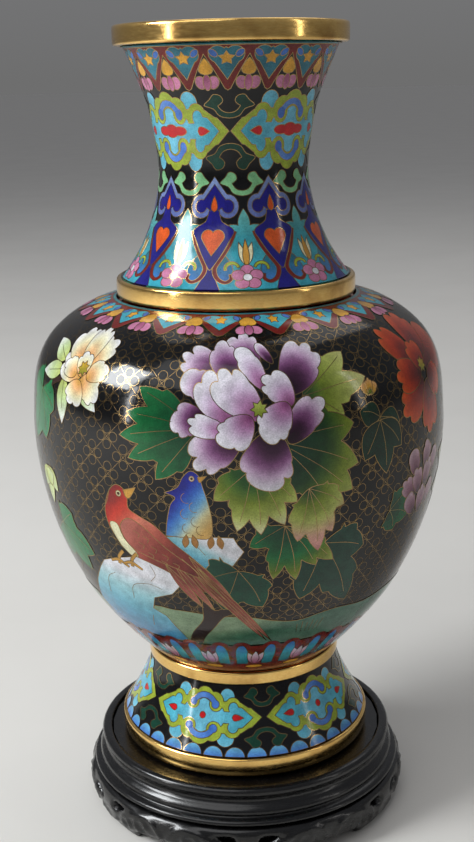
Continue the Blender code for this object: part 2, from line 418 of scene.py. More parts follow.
class Drawing:
    """The cells and wires of one section. A later cell covers an earlier one.

    x is true to size where the surface has this radius, and grid is the size of the skin's triangles.
    """

    def __init__(self, name, surface, radius, grid):
        self.name, self.surface, self.radius, self.grid = name, surface, radius, grid
        self.cells, self.lines, self.lattice_lines = [], [], []
        self.edge = math.pi * radius

    def across(self, degrees):
        return math.radians(degrees) * self.radius

    def around(self, count, start, total=360):
        """Where that many motifs stand, evenly spaced from start over the total, all in degrees."""
        return [self.across(start + total * k / count) for k in range(count)]

    def spot(self, degrees, down):
        return self.across(degrees), down

    def spots(self, *points):
        return [self.spot(*p) for p in points]

    def cell(self, outline, paint, group=None):
        """A cell in one colour or a painted one. Cells of one group have no wire between them."""
        outline = stepped([(px, min(max(py, 0), self.surface.length)) for px, py in outline])
        if signed_area(outline) < 0:
            outline = outline[::-1]
        paint = paint if callable(paint) else flat(paint)
        self.cells.append((outline, paint, group or len(self.cells) + 1))

    def shape(self, points, paint, group=None):
        """A smooth cell through points given in degrees round the vase and millimetres down."""
        self.cell(curve(*self.spots(*points)), paint, group)

    def strip(self, points, width, paint, taper=0.0):
        """A narrow cell along a smooth line through points given in degrees and millimetres."""
        self.cell(band(curve(*self.spots(*points), closed=False), width, taper), paint)

    def pair(self, x, y, apart, rx, ry, paint, group=None, turn=0.0):
        """Two ovals that mirror each other, to the left and right of x."""
        for side in (-1, 1):
            self.cell(oval(x + side * apart, y, rx, ry, turn * side), paint, group)

    def line(self, points):
        """A wire laid inside the cells drawn so far."""
        self.lines.append((stepped(points, closed=False), len(self.cells)))

    def stroke(self, *points):
        """A smooth wire through points given in degrees and millimetres."""
        self.line(curve(*self.spots(*points), closed=False))

    def ring(self, top, bottom, paint, group=None):
        """A cell all the way round the vase."""
        edge = self.edge
        self.cell([(-edge, top), (edge, top), (edge, bottom), (-edge, bottom)], paint, group)

    def cut(self):
        """Triangles of the skin, each with the topmost cell that holds it."""
        spots = [p for outline, _, _ in self.cells for p in outline]
        loops, start = [], 0
        for outline, _, _ in self.cells:
            loops.append(list(range(start, start + len(outline))))
            start += len(outline)
        columns = np.arange(-self.edge + self.grid / 2, self.edge, self.grid)
        rows = np.arange(0.4, self.surface.length, self.grid * 0.9)
        net = np.stack(np.meshgrid(columns, rows), axis=-1)
        net[1::2, :, 0] += self.grid / 2
        net = net.reshape(-1, 2)
        covered = np.zeros(len(net), dtype=bool)
        for outline, _, _ in self.cells:
            covered |= inside(net, outline)
        spots += [tuple(p) for p in net[covered]]
        found = delaunay_2d_cdt([Vector(p) for p in spots], [], loops, 1, 1e-4, True)
        where, _, triangles, _, _, owners = found
        where = np.array([tuple(p) for p in where])
        kept = [(t, max(o)) for t, o in zip(triangles, owners) if o]
        return where, [t for t, _ in kept], [o for _, o in kept]

    def build(self, enamel, brass):
        """The skin, painted cell by cell, and the wires on it."""
        where, triangles, owners = self.cut()
        corners = np.array([i for t in triangles for i in t[::-1]])
        who = np.repeat(owners, 3)
        colours = np.zeros((len(corners), 3))
        for owner in sorted(set(owners)):
            mine = who == owner
            colours[mine] = self.cells[owner][1](where[corners[mine]])
        points, normals = self.surface.points(where[:, 0] / self.radius, where[:, 1], CELL_LIFT)
        faces = [t[::-1] for t in triangles]
        skin = mesh_piece(self.name + "_enamel", points, faces, enamel, normals, colours)
        belongs(skin, "vase", ())

        # a wire runs where only one triangle meets an edge, or two of different groups
        groups = {}
        for triangle, owner in zip(triangles, owners):
            for i in range(3):
                key = tuple(sorted((triangle[i], triangle[(i + 1) % 3])))
                groups.setdefault(key, []).append(self.cells[owner][2])
        border = [key for key, sides in groups.items() if len(sides) == 1 or sides[0] != sides[1]]
        ends = where[np.array(border)]
        seam = (np.abs(np.abs(ends[:, :, 0]) - self.edge) < 1e-3).all(axis=1)  # the drawing's two sides
        self.wires("wires", ends[~seam], WIRE_LIFT, WIRE, brass)
        if self.lines:
            veins = [self.bare(np.stack([line[:-1], line[1:]], axis=1), after) for line, after in self.lines]
            self.wires("veins", np.concatenate(veins), WIRE_LIFT, VEIN, brass)
        if self.lattice_lines:
            crossings = self.bare(np.array(self.lattice_lines), 0)
            self.wires("lattice", crossings, LATTICE_LIFT, LATTICE, brass)

    def bare(self, strokes, after):
        """The strokes that no later cell covers."""
        middle = strokes.mean(axis=1)
        covered = np.zeros(len(middle), dtype=bool)
        for outline, _, _ in self.cells[after:]:
            covered |= inside(middle, outline)
        return strokes[~covered]

    def wires(self, name, ends, lift, width, brass):
        """Flat ribbons along the strokes, each a little longer than its stroke so that corners close."""
        narrow = self.surface.radius_at(ends.mean(axis=1)[:, 1]) / self.radius
        along = (ends[:, 1] - ends[:, 0]) * np.stack([narrow, np.ones_like(narrow)], axis=-1)
        along /= np.maximum(np.hypot(*along.T), 1e-6)[:, None]
        side = np.stack([-along[:, 1] / narrow, along[:, 0]], axis=-1) * width / 2
        past = np.stack([along[:, 0] / narrow, along[:, 1]], axis=-1) * width * 0.3
        a, b = ends[:, 0] - past, ends[:, 1] + past
        corners = np.stack([a + side, b + side, b - side, a - side], axis=1).reshape(-1, 2)
        points, normals = self.surface.points(corners[:, 0] / self.radius, corners[:, 1], lift)
        faces = [(i, i + 1, i + 2, i + 3) for i in range(0, len(points), 4)]
        belongs(mesh_piece(f"{self.name}_{name}", points, faces, brass, normals), "vase", ())


# Motifs --------------------------------------------------------------

def lotus(draw, x, y, width, height):
    """Three fat petals side by side."""
    draw.pair(x, y, width * 0.27, width * 0.25, height * 0.42, PINK, turn=18)
    half = height / 2
    draw.cell(oval(x, y, width * 0.17, half), fade((x, y - half), (x, y + half), ROSE, PINK))


def mirrored(points, x, y, kx=1.0, ky=1.0):
    """A closed outline from its right half, which starts and ends on the middle line."""
    left = [(-px, py) for px, py in reversed(points[1:-1])]
    return [(x + kx * px, y + ky * py) for px, py in [*points, *left]]


def lappet(draw, x, top, width, depth, ground, star_radius):
    """A hanging heart-shaped tongue with a star between two curls, in a broad red zigzag."""
    group = f"tongue{x:.0f}"
    kx, ky = width / 16, depth / 14
    draw.cell(mirrored([(0, -1), (8, -1), (8, 3.6), (1.2, 14.6), (0, 15.2)], x, top, kx, ky), BRICK, "zigzag")
    draw.cell(mirrored([(0, 1.4), (5.6, 4.6), (0, 11.8)], x, top, kx, ky), ground, group)
    draw.pair(x, top + 3.7 * ky, 3.0 * kx, 3.3 * kx, 2.7 * ky, ground, group)
    draw.pair(x, top + 3.3 * ky, 4.7 * kx, 1.2 * kx, 1.5 * ky, BLUE, turn=40)
    draw.cell(star(x, top + 4.9 * ky, star_radius, 5, 0, 0.55), AMBER)


def cartouche(draw, x, y, half, rise, centre):
    """A cloud-edged medallion between two pointed spades; centre draws what is in the middle."""
    kx, ky = half / 22.5, rise / 10.2
    quarters = [(side, way) for side in (-1, 1) for way in (-1, 1)]

    def blobs(dx, dy, rx, ry, paint, group=None):
        for side, way in quarters if dx else quarters[:2]:
            draw.cell(oval(x + side * dx * kx, y + way * dy * ky, rx * kx, ry * ky), paint, group)

    def sides(points, paint, group):
        for side in (-1, 1):
            half_shape = points + [(px, -py) for px, py in reversed(points)]
            draw.cell([(x + side * px * kx, y + py * ky) for px, py in half_shape], paint, group)

    edge, field = f"edge{x:.0f}", f"field{x:.0f}"
    pool = fade((x - half, y), (x + half, y), TURQUOISE, SKY, TURQUOISE)
    blobs(9.3, 7.2, 3.0, 2.9, fade((x, y - rise), (x, y + rise), SKY, TURQUOISE, SKY))
    sides([(0, -5), (9.5, -5.6), (14.6, -5.3), (17.6, -3.5), (18.6, -3.3), (22.5, 0)], LIME, edge)
    for blob in ((0, 6.5, 3.9, 3.6), (4.4, 5.2, 3.5, 3.4), (11.6, 4.0, 3.1, 3.0)):
        blobs(*blob, LIME, edge)
    sides([(0, -2.0), (10.2, -2.0), (12.4, -3.8), (15.2, -3.4), (19.2, 0)], pool, field)
    for blob in ((0, 2.0, 3.3, 3.9), (5.6, 1.8, 2.6, 1.9), (11.8, 3.3, 1.9, 2.0)):
        blobs(*blob, pool, field)
    blobs(4.8, 4.2, 2.7, 2.5, LIME, edge)
    for way in (-1, 1):
        scroll = f"scroll{x:.0f}{way}"
        sweep = (-66, 66) if way < 0 else (114, 246)
        line = [(x + kx * px, y + ky * (way * 2.1 + py)) for px, py in arc(0, 0, 5.0, *sweep)]
        draw.cell(band(line, 2.1 * kx), fade((x - 5, y), (x + 5, y), (0.42, 0.60, 0.86), BLUE), scroll)
        draw.pair(x, y + way * 4.2 * ky, 4.6 * kx, 1.55 * kx, 1.5 * ky, BLUE, scroll)
    centre(draw, x, y, ky)
    for side in (-1, 1):
        draw.cell(leaf(x + side * 11.4 * kx, y, 90 * side, 4.4 * kx, 2.3 * ky, 0.55), RED)


def cloud(draw, x, y, size):
    """A medallion's middle on the neck."""
    draw.pair(x, y, 3.2 * size, 2.4 * size, 1.2 * size, RED, f"cloud{x:.0f}")
    draw.cell(oval(x, y, 2.7 * size, 1.7 * size), RED, f"cloud{x:.0f}")


def bead(draw, x, y, size):
    """A medallion's middle on the foot."""
    draw.cell(oval(x, y, 1.2 * size), RED)


CLOUD_SCROLL = ((0, 7.7), (3.6, 6.9), (5.6, 4.6), (8.9, 3.4), (6.9, 1.5), (5.3, -0.3), (3.0, 0.1),
                (2.1, 1.8), (3.2, 3.1), (3.9, 3.6), (2.4, 5.3), (0, 5.9))


def cloud_scroll(draw, x, y, size, colour, way=1):
    """A broad open scroll with hooked ends; way -1 turns it upside down."""
    draw.cell(curve(*mirrored(CLOUD_SCROLL, x, y, size, way * size), steps=3), colour)


ANCHOR = ((7.4, 17.8), (5.9, 21.6), (3.8, 25.6), (1.6, 29.6), (1.5, 31.8), (2.6, 34.2), (4.5, 35.3),
          (6.0, 34.2), (5.9, 32.4))


def spearhead(draw, x, y):
    """A cobalt spear-shaped jewel in a grey cloud collar, with a flame above a heart."""
    def spade(inset, paint, group):
        draw.cell([(x, y + inset * 1.5), (x + 7.0 - inset * 1.1, y + 8.6), (x, y + 13.6 - inset),
                   (x - 7.0 + inset * 1.1, y + 8.6)], paint, group)
        draw.pair(x, y + 9.6, 5.0, 3.9 - inset, 3.9 - inset, paint, group)

    jewel = f"jewel{x:.0f}"
    draw.cell(mirrored([(0, 29), (1.2, 32), (3.2, 38), (3.2, 46), (0, 46)], x, y), COBALT)
    for side in (-1, 1):
        line = curve(*[(x + side * px, y + py) for px, py in ANCHOR], closed=False)
        draw.cell(band(line, 1.25, 0.3), BRICK, f"anchor{x:.0f}")
    draw.cell(curve((x - 1.8, y + 12), (x + 1.8, y + 12), (x + 3.0, y + 14.6), (x + 7.0, y + 17.4),
                    (x + 5.2, y + 21.5), (x + 1.0, y + 29.5), (x, y + 31), (x, y + 31), (x - 1.0, y + 29.5),
                    (x - 5.2, y + 21.5), (x - 7.0, y + 17.4), (x - 3.0, y + 14.6)), COBALT, jewel)
    spade(0, fade((x, y), (x, y + 14), PERIWINKLE, (0.36, 0.42, 0.66)), f"collar{x:.0f}")
    spade(1.7, COBALT, jewel)
    draw.cell([(x - 1.9, y + 11), (x + 1.9, y + 11), (x + 2.3, y + 14.6), (x - 2.3, y + 14.6)], COBALT, jewel)
    draw.cell(leaf(x, y + 11.4, 0, 5.2, 2.4, 0.6), ORANGE)
    draw.pair(x, y + 19.4, 1.7, 2.2, 2.2, ORANGE, f"heart{x:.0f}")
    draw.cell([(x - 3.7, y + 20.3), (x, y + 19), (x + 3.7, y + 20.3), (x, y + 26)], ORANGE, f"heart{x:.0f}")


def crown(draw, x, y):
    """Between two spearheads: a turquoise crown over two blue leaves."""
    for turn, length, width in ((-62, 6.5, 3.6), (62, 6.5, 3.6), (0, 8.5, 4.2)):
        draw.cell(leaf(x, y + 7.0, turn, length, width, 0.9), fade((x, y), (x, y + 8), AQUA, LAGOON),
                  "lower_field")
    for side in (-1, 1):
        draw.cell(leaf(x + side * 6.0, y + 23.4, 6 * side, 10.5, 5.2),
                  fade((x, y + 14), (x, y + 25), TEAL, BLUE))


def blossom(draw, x, y, size):
    """Five round pink petals."""
    for i in range(5):
        a = math.radians(72 * i)
        draw.cell(oval(x + 1.35 * size * math.sin(a), y - 1.35 * size * math.cos(a), size), PINK)
    draw.cell(oval(x, y, 0.66 * size), WHITE)


def bouquet(draw, x, y):
    """Pale pointed petals and two green curls over a small pink blossom."""
    for side in (-1, 1):
        draw.cell(band(arc(x + side * 4.2, y + 18.4, 1.9, -80 * side, 110 * side), 1.1, 0.3), LIME)
        draw.cell(leaf(x, y + 17.5, 15 * side, 8.2, 2.2), CREAM)
    draw.cell(leaf(x, y + 18, 0, 9.5, 2.0), OCHRE)
    blossom(draw, x, y + 21.6, 1.9)


def lattice(draw, columns, rise, top, bottom):
    """Crossing diagonals with a loop in each of the four corners of every crossing."""
    pitch = 360 / columns
    for row in range(int(2 * (bottom - top) / rise) + 1):
        y = top + row * rise / 2
        stretch = draw.radius / draw.surface.radius_at(y)
        size = LOOP * min(1.0, draw.surface.radius_at(y) / draw.radius + 0.12)
        for column in range(columns):
            x = draw.across((column + 0.5 * (row % 2)) * pitch - 180)
            for side in (-1, 1):
                far = (x + side * draw.across(pitch / 2), y + rise / 2)
                steps = [(x + (far[0] - x) * i / 4, y + (far[1] - y) * i / 4) for i in range(5)]
                draw.lattice_lines += list(zip(steps, steps[1:]))
            for dx, dy in ((0, -1), (1, 0), (0, 1), (-1, 0)):
                middle = x + dx * LOOP_SHIFT * stretch, y + dy * LOOP_SHIFT
                loop = oval(*middle, size * stretch, size, sides=12)
                draw.lattice_lines += list(zip(loop, loop[1:] + loop[:1]))


def peony(draw, x, y, petals, outer, heart, inner=None, radius=2.8):
    """A flower with a star for its heart.

    The petals come from back to front, as (dx, dy, turn, length, width, lobes). The last seven may have
    colours of their own, inner.
    """
    for i, (dx, dy, turn, length, width, lobes) in enumerate(petals):
        colours = inner if inner and i >= len(petals) - 7 else outer
        place = x + dx, y + dy, turn, length, width
        draw.cell(petal(*place, lobes), blush(*place, colours))
    draw.cell(star(x, y, radius, 7, 10, 0.6), fade((x, y - 3), (x, y + 3), heart, OLIVE))


FULL_PEONY = (
    (-1.8, -9.8, -14, 17.6, 14, 5), (-8.9, -7.6, -56, 19.8, 13.5, 5), (-6.8, -7.6, -27, 17.2, 11.5, 4),
    (9.2, -4, 31, 19.6, 16.5, 5), (5.7, -14, -33, 9.6, 4.4, 0), (-11, -5, -72, 14.5, 11, 4),
    (-16, 3, -92, 12, 12, 5), (9, 11, 36, 17.5, 11.5, 4), (-5.5, 7.4, 240, 18.2, 14.5, 5),
    (4, 6.6, 191, 19, 18.5, 5), (-8.5, 4.5, -33, 18.4, 13.5, 4), (2.5, -5.5, -29, 17.4, 8.5, 4),
    (10.6, -0.5, -36, 13, 10.5, 5), (0.6, 3, -45, 20, 14, 4), (-9.6, 7, -76, 13, 8, 4),
    (-2.5, 2.2, 224, 13, 12.5, 5), (9, -1.5, 216, 13.6, 12.5, 5),
)
DEEP = ((0.12, 0.05, 0.11), (0.15, 0.06, 0.13), (0.26, 0.12, 0.24), (0.52, 0.32, 0.50),
        (0.80, 0.70, 0.80), WHITE)
PALE = ((0.44, 0.20, 0.38), (0.62, 0.38, 0.56), (0.74, 0.56, 0.72), (0.84, 0.77, 0.86),
        (0.90, 0.88, 0.92), WHITE)
SMALL_PEONY = tuple((0.7 * dx, 0.7 * dy, 40 + turn, 0.72 * length, 0.8 * width, lobes)
                    for dx, dy, turn, length, width, lobes in FULL_PEONY[1::2])


def spray(draw, base, tips, width, colours, teeth=3):
    """A lobed leaf: one pointed lobe from the base to each tip, each with its vein."""
    group = f"spray{len(draw.cells)}"
    base, tips = draw.spot(*base), draw.spots(*tips)
    reach = max(math.dist(base, tip) for tip in tips)
    for tip in tips:
        draw.cell(blade(base, tip, width, 0.95, teeth), glow(base, reach, *colours), group)
    for x, y in tips:
        bend = (x + base[0]) / 2 + 0.6, (y + base[1]) / 2 - 0.6
        late = bend[0] * 0.3 + x * 0.7, bend[1] * 0.3 + y * 0.7
        draw.line(curve(base, bend, late, closed=False))


def shaded_leaf(draw, base, tip, width, colours, fullness=0.8):
    """A leaf or feather that shades from its base to its tip; gives back those two points."""
    a, b = draw.spots(base, tip)
    draw.cell(blade(a, b, width, fullness), fade(a, b, *colours))
    return a, b


def red_bird(draw):
    """A long-tailed bird that looks to the right, its tail hanging across the ground."""
    spot = draw.spot
    body = ((-34.5, 67.5), (-32.5, 66), (-30.4, 67.2), (-29.6, 70), (-29.6, 73.5), (-27, 75.6), (-22.5, 78.5),
            (-18, 84), (-12.5, 90), (-7, 98), (-9, 103), (-14, 102), (-19, 97), (-25, 93.5), (-30.5, 91),
            (-34, 87), (-36.8, 81.5), (-37.4, 76), (-36.2, 71))
    draw.shape(body, fade(spot(-34, 67), spot(-12, 99), (0.46, 0.10, 0.10), (0.76, 0.20, 0.13),
                          (0.85, 0.50, 0.40), (0.68, 0.33, 0.27), (0.52, 0.22, 0.18), (0.44, 0.17, 0.15),
                          (0.50, 0.20, 0.17)))
    for root, end, width in (((-21, 93), (-12, 110.5), 3.4), ((-14, 89), (-2, 108.5), 3.4),
                             ((-18.5, 92), (-8.5, 111.5), 3.2), ((-16, 90), (-4.6, 111), 3.2),
                             ((-14, 94), (8.4, 129), 2.4), ((-12, 93), (10.6, 130), 2.4)):
        draw.line(shaded_leaf(draw, root, end, width, FEATHER, 1.0))
    draw.shape(((-36.6, 80.5), (-34, 80), (-32.6, 85), (-29, 90.6), (-31, 91.5), (-34.3, 87.5)), CREAM)
    draw.shape(((-33.2, 81), (-30, 77.2), (-25.5, 80), (-20.5, 86), (-14, 92.5), (-12, 97), (-18, 94),
                (-25, 91), (-31, 87.5)),
               fade(spot(-32, 80), spot(-13, 96), (0.72, 0.42, 0.36), (0.56, 0.24, 0.20), (0.42, 0.15, 0.13)))
    for x, y in ((-29, 81.5), (-26.4, 83), (-28, 85.5), (-24.4, 86.5), (-25.6, 89), (-21.4, 89),
                 (-22, 91.5), (-18.6, 92)):
        draw.stroke((x, y), (x + 1.5, y + 1.0), (x + 1.0, y + 2.4))
    draw.shape(((-30.6, 67.4), (-30.6, 67.4), (-26.8, 66), (-26.8, 66), (-28.6, 69.6), (-30, 69.8)), OCHRE)
    for radius, colour in ((1.0, CREAM), (0.5, BLACK)):
        draw.cell(oval(*spot(-32.2, 69), radius), colour)
    draw.stroke((-35, 68), (-36.5, 73), (-39.5, 77.5))
    for x in (-36.5, -32):
        draw.strip(((x + 2.5, 90.3), (x + 0.5, 93), (x, 96)), 1.2, OCHRE)
        draw.strip(((x - 3, 95.5), (x, 94.4), (x + 3.2, 96.6)), 1.3, OCHRE, 0.4)


def blue_bird(draw):
    """A small bird on the upper rock, seen from behind its shoulder."""
    spot = draw.spot
    draw.shape(((-14, 61), (-12, 59), (-10, 60.6), (-9.2, 64), (-7.9, 70), (-7.2, 76), (-8, 81.6),
                (-13, 81.8), (-19.6, 81.6), (-19.6, 81.6), (-18.8, 76), (-17.6, 70.5), (-16.3, 68),
                (-19, 66.6), (-19, 66.6), (-15.6, 64.6)),
               fade(spot(-18, 66), spot(-7.6, 77), COBALT, (0.12, 0.16, 0.58), (0.20, 0.40, 0.74),
                    (0.44, 0.68, 0.84), (0.84, 0.80, 0.60), (0.80, 0.64, 0.36)))
    for x, y in ((-13.4, 68), (-11.4, 71), (-13.8, 73.4), (-11.2, 76), (-13.6, 78.4), (-10, 79)):
        draw.line(arc(*spot(x, y), 1.7, -200, -20))
    draw.shape(((-10.3, 61), (-10.3, 61), (-8.1, 60.5), (-8.1, 60.5), (-9.8, 62.6)), OCHRE)
    for radius, colour in ((0.8, WHITE), (0.42, BLACK)):
        draw.cell(oval(*spot(-11.8, 61.5), radius), colour)
    for x in (-13.2, -6.6):
        for toe in (-0.8, 0.8):
            draw.cell(leaf(*spot(x + toe, 80.6), 180 - 14 * toe, 5.0, 2.2, 1.2), CLAW)


def rock(draw, outline, folds):
    """White at the top, turquoise, then blue at the foot."""
    points = draw.spots(*outline)
    top, foot = min(p[1] for p in points), max(p[1] for p in points)
    middle = sum(p[0] for p in points) / len(points)
    draw.cell(points, fade((middle, top), (middle - 8, foot), WHITE, WHITE, (0.62, 0.82, 0.85),
                           (0.42, 0.70, 0.78), (0.32, 0.60, 0.74), (0.22, 0.47, 0.66)))
    for fold in folds:
        draw.stroke(*fold)


RIGHT_FLOWER = (
    (3, 3, 60, 24, 20, 4), (-2, 4, 232, 17, 15, 4), (2, -2, 18, 20, 18, 4), (-3, 0, -38, 20, 14, 4),
    (-2, 2, -88, 15, 13, 4), (1, 5, 175, 18, 15, 4), (0, 2, -12, 11, 12, 4), (2, 4, 110, 12, 13, 4),
)
LEFT_FLOWER = (
    (0, 3, -70, 14, 12, 4), (0, 4, 105, 11, 12, 4), (-2, 0, -32, 17, 14, 4), (1, 0, 30, 15, 13, 4),
    (0, 0, 0, 17, 11, 4), (0, 4, 200, 9, 11, 3), (-3, 3, -55, 9, 9, 3), (3, 3, 55, 10, 9, 3),
    (0, 3, -5, 9, 9, 3),
)
BUD = ((0, 1, -35, 4.5, 3.5, 3), (0, 1, 35, 4.5, 3.5, 3), (0, 1, 0, 5.2, 3.2, 3))


def front_ground(draw):
    """The ground with a stump and a tuft of grass, and the two rocks."""
    spot = draw.spot
    draw.shape(((-30, 114), (-22, 113), (-14, 113.5), (-6, 114.5), (2, 115), (10, 117.5), (18, 118.8),
                (26, 117), (33, 116.5), (45, 118), (60, 116.5), (75, 118), (80, 131.5), (80, 131.5),
                (-30, 131.5), (-30, 131.5)),
               fade(spot(0, 113), spot(4, 131), CELADON, CELADON, GRASS, (0.36, 0.50, 0.42)), "ground")
    draw.shape(((-20.5, 131), (-20.5, 131), (-17.5, 124), (-13, 117), (-12.3, 111), (-11.6, 107),
                (-8.6, 111.6), (-4, 109.5), (-1.5, 112.5), (-6, 115), (-9.5, 120.5), (-13.6, 126.5),
                (-15.5, 131), (-15.5, 131)), fade(spot(-12, 108), spot(-18, 131), BARK, (0.13, 0.09, 0.09)))
    for i in range(6):
        draw.line([spot(19 + 1.6 * i, 126), spot(18.4 + 1.9 * i, 121 - i % 2)])
    rock(draw, ((-46.5, 101), (-43, 96.5), (-38, 94.2), (-33, 92.5), (-27, 90.5), (-20.5, 95.5), (-17.5, 101),
                (-21, 105.5), (-27.5, 108.5), (-29.5, 114), (-25.5, 117), (-22.5, 125), (-20.5, 130.8),
                (-22, 131), (-60, 131), (-62, 130), (-57, 117), (-52, 108.5)),
         (((-36, 111), (-34, 104.5), (-28, 102.5), (-24, 104)), ((-26, 94), (-25, 98), (-27, 101)),
          ((-47, 112), (-44, 104), (-40, 101)), ((-31, 118), (-33, 124))))
    rock(draw, ((-19.6, 82), (-15, 81.4), (-9, 81.2), (-2, 81.4), (-1, 84), (0.6, 86.6), (-2.4, 92),
                (-9, 94.6), (-14, 90)), (((-12, 84), (-9.5, 88)),))


def front_leaves(draw):
    """The leaves behind the large peony, below it and to its right, and its bud."""
    for base, tips, width, colours, teeth in (
        ((-10, 46), ((-26, 34), (-29, 42), (-31, 49.5), (-28.5, 56.5), (-21, 62.5)), 9.5,
         (FOREST, (0.06, 0.28, 0.16), (0.08, 0.38, 0.20), LEAF), 3),
        ((16, 37), ((30.5, 24), (35, 33.5), (27, 44)), 11, (FOREST, OLIVE, SPRING, (0.82, 0.80, 0.55)), 3),
        ((9, 50), ((29.5, 47), (30.5, 60), (29, 68.5), (22, 70)), 15,
         (FOREST, FOREST, (0.10, 0.25, 0.12), OLIVE, SPRING), 3),
        ((-1, 94), ((-10.5, 98), (-6, 111), (6, 110)), 14, ((0.08, 0.24, 0.18), (0.12, 0.33, 0.24)), 3),
        ((22, 86), ((35, 90), (34, 113), (17, 108)), 15, ((0.09, 0.25, 0.19), (0.11, 0.29, 0.22)), 3),
        ((11, 78), ((8.5, 98), (15, 99), (20.5, 94), (25.5, 93), (2, 85)), 8,
         (FOREST, (0.08, 0.30, 0.18), LEAF, OLIVE, SPRING), 3),
        ((3, 58), ((-6.5, 68.5), (-1, 79), (5, 80.5), (11, 77.5), (14, 70)), 9,
         (FOREST, (0.14, 0.34, 0.12), OLIVE, SPRING, CREAM), 3),
        ((17, 66), ((26.8, 73), (20.5, 88.5), (14.5, 84), (24, 82)), 9,
         (FOREST, OLIVE, SPRING, (0.86, 0.66, 0.58), (0.84, 0.56, 0.56)), 3),
        ((38, 47), ((31.5, 44), (45, 50)), 8, SHADED, 0),
        ((38, 48), ((32.5, 60), (40, 66), (45.5, 58)), 9, SHADED, 0),
    ):
        spray(draw, base, tips, width, colours, teeth)
    peony(draw, *draw.spot(35.5, 38.5), BUD, (LEAF, AMBER, PEACH), OLIVE, radius=1.2)


def right_flowers(draw):
    """A red flower, a leaf and a mauve flower."""
    spray(draw, (43, 80), ((50, 74), (52, 84), (46, 88)), 9, (FOREST, LEAF), 2)
    peony(draw, *draw.spot(60, 35), RIGHT_FLOWER, (CRIMSON, BRICK, (0.72, 0.22, 0.08), ORANGE), AMBER)
    x, y = draw.spot(57, 76)
    for dx, dy, turn in ((-4, -5, -22), (2, -6, 8), (6, -3, 34), (-4, 2, -50), (3, 1, 12), (-1, 2, -18),
                         (5, 8, 40), (-2, 9, -40), (2, 10, 0)):
        place = x + dx, y + dy, turn, 10, 7.5
        draw.cell(petal(*place, 3), blush(*place, MAUVE))


def left_flower(draw):
    """A pale flower with its leaves and buds."""
    for tip, base, width in (((-67, 23.5), (-56, 30), 7), ((-67.5, 36), (-55.5, 33), 6.5),
                             ((-52.5, 50.5), (-53.5, 35), 7), ((-39, 44), (-46, 36), 6.5),
                             ((-45, 41), (-50, 34), 6)):
        a, b = shaded_leaf(draw, base, tip, width, (SPRING, (0.74, 0.82, 0.60), WHITE))
        draw.line([a, ((a[0] + 2 * b[0]) / 3, (a[1] + 2 * b[1]) / 3)])
    draw.strip(((-55, 36), (-60, 39), (-63, 44)), 1.6, BARK)
    peony(draw, *draw.spot(-46.5, 31), LEFT_FLOWER, (OCHRE, PEACH, CREAM, WHITE), AMBER)
    spray(draw, (-66, 42), ((-74, 39), (-57, 47), (-62, 58), (-71, 60)), 13, (LEAF, (0.14, 0.46, 0.30)), 2)
    for tip, base in (((-64, 82), (-63, 68)), ((-58.5, 76), (-63, 68)), ((-67, 76), (-63, 68)),
                      ((-60, 70), (-65, 73))):
        shaded_leaf(draw, base, tip, 6.5, (SPRING, (0.8, 0.86, 0.66)))
    spray(draw, (-61, 88), ((-53, 82), (-47, 96), (-52, 104), (-63, 102)), 12, (LEAF, (0.16, 0.46, 0.27)), 2)


def front_garden(draw):
    """Two birds on rocks beside a purple peony, between two other flowers."""
    front_ground(draw)
    front_leaves(draw)
    right_flowers(draw)
    left_flower(draw)
    blue_bird(draw)
    red_bird(draw)
    peony(draw, *draw.spot(5, 40), FULL_PEONY, DEEP, SPRING, PALE)


def back_garden(draw):
    """The far side: more of the same garden, in other colours."""
    far = 179.9
    for side, start in ((-1, 60), (1, 75)):
        ground = ((start, 117), (95, 119), (110, 116), (125, 118), (145, 115.5), (165, 118), (far, 117),
                  (far, 117), (far, 131.5), (far, 131.5), (start, 131.5), (start, 131.5))
        draw.shape([(side * x, y) for x, y in ground], fade((0, 115), (0, 131), CELADON, GRASS), "ground")
    rock(draw, ((118, 131), (122, 118), (128, 110), (134, 104), (141, 101), (148, 106), (152, 114),
                (158, 120), (162, 131)),
         (((133, 112), (137, 108), (141, 110)), ((145, 118), (147, 124))))
    rock(draw, ((-96, 131), (-92, 122), (-88, 115), (-83, 112), (-79, 118), (-75, 124), (-72, 131)),
         (((-86, 120), (-84, 125)),))
    flowers = (
        (128, 42, FULL_PEONY, ((0.36, 0.05, 0.10), RED, (0.86, 0.40, 0.40), (0.95, 0.75, 0.72)), AMBER, 1.0),
        (-142, 46, FULL_PEONY, (OCHRE, PEACH, CREAM, WHITE), SPRING, 1.0),
        (174, 72, SMALL_PEONY, ((0.15, 0.06, 0.13), (0.48, 0.24, 0.47), (0.84, 0.76, 0.86), WHITE), AMBER,
         0.75),
        (-106, 82, SMALL_PEONY, (CRIMSON, BRICK, ORANGE, AMBER), AMBER, 0.75),
        (93, 78, SMALL_PEONY, (ROSE, PINK, WHITE), AMBER, 0.75),
    )
    for x, y, _, _, _, size in flowers:
        for turn in (64, 160, 262):
            ways = [math.radians(turn + step) for step in (-26, 0, 28)]
            tips = [(x + 31 * size * math.sin(way), y - 37 * size * math.cos(way)) for way in ways]
            spray(draw, (x, y), tips, 17 * size, (FOREST, FOREST, LEAF, OLIVE, SPRING))
    for x in (108, 168, -163, -122):
        spray(draw, (x, 124), ((x - 12, 108), (x - 3, 99), (x + 7, 104), (x + 13, 114)), 12, (FOREST, LEAF))
    for x, y, petals, colours, heart, _ in flowers:
        peony(draw, *draw.spot(x, y), petals, colours, heart)


# Sections ------------------------------------------------------------

